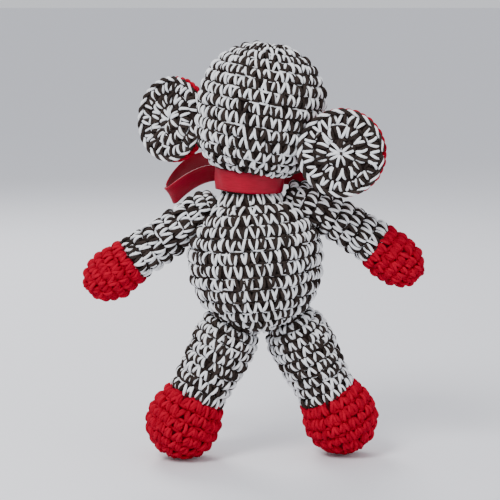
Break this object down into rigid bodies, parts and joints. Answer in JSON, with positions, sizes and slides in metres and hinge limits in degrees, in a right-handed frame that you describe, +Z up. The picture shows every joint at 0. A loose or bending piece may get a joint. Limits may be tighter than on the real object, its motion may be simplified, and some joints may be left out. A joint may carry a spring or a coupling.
{
  "type": "stuffed monkey",
  "caption": "Standing crocheted soft toy monkey: marled yarn covers over filling, round ears, plain coloured hands and feet, ribbon bow at the neck; head, ears and limbs bend at their seams.",
  "frame": {"origin": "centre of the toy's box at the level its soles rest on", "axes": "+Z up, +X towards the monkey's left side, -Y towards its face"},
  "size_m": [0.1648, 0.0764, 0.2015],
  "materials": {
    "marl_yarn": "single crochet in a black and white marled yarn",
    "red_yarn": "single crochet in a bright red yarn",
    "embroidery_yarn": "black embroidery yarn",
    "satin_ribbon": "red satin ribbon",
    "polyester_filling": "loose white fibre filling",
    "black_plastic": "polished black safety eyes",
    "white_plastic": "moulded white washer"
  },
  "bodies": {
    "torso": {"body_cover": "marl_yarn", "body_stuffing": "polyester_filling", "ribbon_collar": "satin_ribbon", "ribbon_knot": "satin_ribbon", "ribbon_loop_left": "satin_ribbon", "ribbon_loop_right": "satin_ribbon", "ribbon_tail_left": "satin_ribbon", "ribbon_tail_right": "satin_ribbon"},
    "head": {"head_cover": "marl_yarn", "head_stuffing": "polyester_filling", "muzzle_cover": "red_yarn", "muzzle_stuffing": "polyester_filling", "mouth_stitching": "embroidery_yarn", "nostril_stitch_left": "embroidery_yarn", "nostril_stitch_right": "embroidery_yarn", "eye_left": "black_plastic", "eye_right": "black_plastic", "eye_washer_left": "white_plastic", "eye_washer_right": "white_plastic"},
    "ear_left": {"ear_back_left": "marl_yarn", "ear_front_left": "red_yarn"},
    "arm_left": {"arm_sleeve_left": "marl_yarn", "hand_left": "red_yarn", "arm_stuffing_left": "polyester_filling"},
    "leg_left": {"leg_sleeve_left": "marl_yarn", "foot_left": "red_yarn", "leg_stuffing_left": "polyester_filling"},
    "ear_right": {"ear_back_right": "marl_yarn", "ear_front_right": "red_yarn"},
    "arm_right": {"arm_sleeve_right": "marl_yarn", "hand_right": "red_yarn", "arm_stuffing_right": "polyester_filling"},
    "leg_right": {"leg_sleeve_right": "marl_yarn", "foot_right": "red_yarn", "leg_stuffing_right": "polyester_filling"}
  },
  "joints": [
    {"name": "head_turn", "type": "hinge", "parent": "torso", "child": "head", "pos_m": [0.00179, 0.00504, 0.13594], "axis": [-0.1633, 0, 0.9866], "range_deg": [-12, 10]},
    {"name": "ear_left_flex", "type": "hinge", "parent": "head", "child": "ear_left", "pos_m": [0.02439, 0.00596, 0.16117], "axis": [-0.1633, 0, 0.9866], "range_deg": [-6, 12], "stiffness_Nm_per_rad": 0.006},
    {"name": "ear_right_flex", "type": "hinge", "parent": "head", "child": "ear_right", "pos_m": [-0.02084, 0.0282, 0.15368], "axis": [-0.1633, 0, 0.9866], "range_deg": [-12, 6], "stiffness_Nm_per_rad": 0.006},
    {"name": "arm_left_lift", "type": "hinge", "parent": "torso", "child": "arm_left", "pos_m": [0.0233, 0.00504, 0.1204], "axis": [0, -1, 0], "range_deg": [0, 55]},
    {"name": "arm_right_lift", "type": "hinge", "parent": "torso", "child": "arm_right", "pos_m": [-0.0223, 0.00504, 0.1253], "axis": [0, 1, 0], "range_deg": [0, 30]},
    {"name": "leg_left_swing", "type": "hinge", "parent": "torso", "child": "leg_left", "pos_m": [0.0134, 0.00504, 0.0583], "axis": [-1, 0, 0], "range_deg": [-15, 45]},
    {"name": "leg_right_swing", "type": "hinge", "parent": "torso", "child": "leg_right", "pos_m": [-0.0221, 0.00504, 0.0585], "axis": [-1, 0, 0], "range_deg": [-15, 45]}
  ]
}
